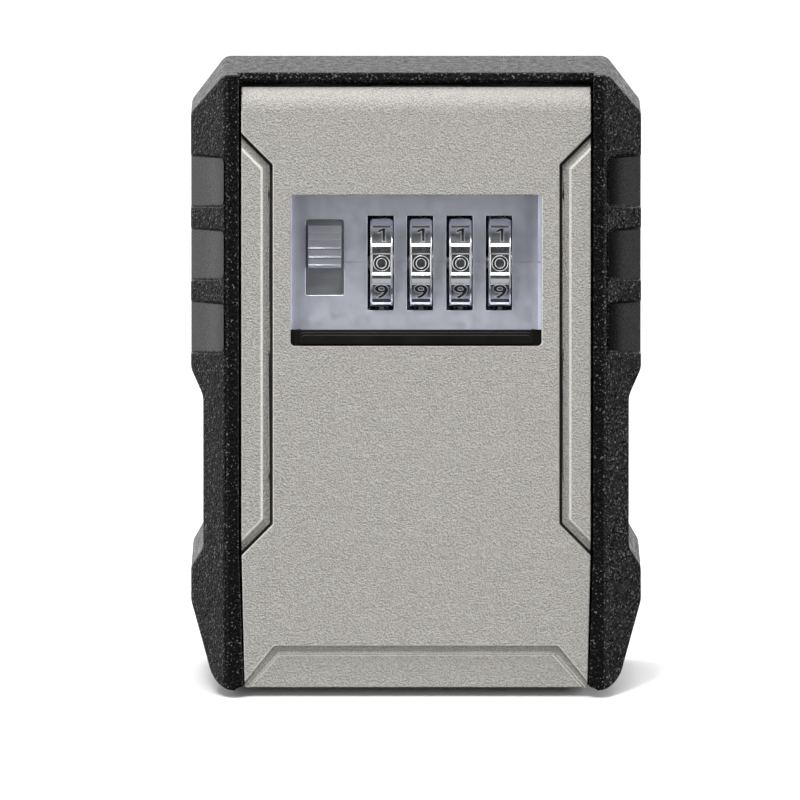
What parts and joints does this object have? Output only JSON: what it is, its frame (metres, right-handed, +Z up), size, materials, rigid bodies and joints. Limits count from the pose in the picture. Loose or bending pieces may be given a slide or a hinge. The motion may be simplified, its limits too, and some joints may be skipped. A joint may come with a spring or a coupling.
{
  "type": "wall-mounted key lock box",
  "caption": "Wedge-shaped wall key safe: black case, drop-down grey door with a window, shutter, code dials and sliding open button.",
  "frame": {"origin": "The middle of the flat wall face at the back of the case.", "axes": "+Z is up, +Y points into the wall, +X is to the right as a user facing the box sees it."},
  "size_m": [0.0888, 0.044, 0.12],
  "materials": {
    "black_coat": "coarse black textured coat",
    "grey_coat": "pebbled warm grey powder coat",
    "satin_chrome": "satin",
    "bright_chrome": "polished",
    "steel": "zinc plated",
    "screw_steel": "zinc plated",
    "dark_zinc": "as cast",
    "black_plastic": "fine matte"
  },
  "bodies": {
    "case": {"case_shell": "black_coat", "back_plate": "steel", "plate_screw_1": "screw_steel", "plate_screw_2": "screw_steel", "plate_screw_3": "screw_steel", "plate_screw_4": "screw_steel", "key_hook_left": "steel", "key_hook_right": "steel", "hook_screw_left": "screw_steel", "hook_screw_right": "screw_steel", "strike_plate": "steel", "strike_screw_left": "screw_steel", "strike_screw_right": "screw_steel", "hinge_pin": "steel"},
    "door": {"door_cover": "grey_coat", "lock_plate": "dark_zinc", "bezel_panel": "satin_chrome", "lock_housing": "dark_zinc", "dial_spindle": "steel", "spindle_clip": "steel", "detent_comb": "steel", "comb_screw_1": "screw_steel", "comb_screw_2": "screw_steel", "latch_spring": "steel", "back_cover": "steel", "cover_screw_1": "screw_steel", "cover_screw_2": "screw_steel", "cover_screw_3": "screw_steel", "cover_screw_4": "screw_steel", "frame_screw_1": "screw_steel", "frame_screw_2": "screw_steel", "frame_screw_3": "screw_steel", "frame_screw_4": "screw_steel", "frame_screw_5": "screw_steel", "frame_screw_6": "screw_steel"},
    "shutter": {"shutter": "black_plastic"},
    "latch": {"open_button": "bright_chrome", "latch_slide": "steel"},
    "dial_1": {"code_dial_1": "bright_chrome"},
    "dial_2": {"code_dial_2": "bright_chrome"},
    "dial_3": {"code_dial_3": "bright_chrome"},
    "dial_4": {"code_dial_4": "bright_chrome"},
    "reset": {"reset_lever": "black_plastic"}
  },
  "joints": [
    {"name": "door_hinge", "type": "hinge", "parent": "case", "child": "door", "pos_m": [0, -0.03956, -0.05713], "axis": [1, 0, 0], "range_deg": [0, 98]},
    {"name": "shutter_slide", "type": "slide", "parent": "door", "child": "shutter", "axis": [0, 0.1392, 0.9903], "range_m": [0, 0.0262]},
    {"name": "open_slide", "type": "slide", "parent": "door", "child": "latch", "axis": [0, -0.1392, -0.9903], "range_m": [0, 0.005], "stiffness_N_per_m": 400, "springref_m": -0.003, "deforming": ["latch_spring"]},
    {"name": "dial_1_turn", "type": "hinge", "parent": "door", "child": "dial_1", "pos_m": [-0.0068, -0.01815, 0.02125], "axis": [1, 0, 0], "continuous": true},
    {"name": "dial_2_turn", "type": "hinge", "parent": "door", "child": "dial_2", "pos_m": [0.00098, -0.01815, 0.02125], "axis": [1, 0, 0], "continuous": true},
    {"name": "dial_3_turn", "type": "hinge", "parent": "door", "child": "dial_3", "pos_m": [0.00876, -0.01815, 0.02125], "axis": [1, 0, 0], "continuous": true},
    {"name": "dial_4_turn", "type": "hinge", "parent": "door", "child": "dial_4", "pos_m": [0.01654, -0.01815, 0.02125], "axis": [1, 0, 0], "continuous": true},
    {"name": "reset_slide", "type": "slide", "parent": "door", "child": "reset", "axis": [1, 0, 0], "range_m": [0, 0.0036]}
  ]
}
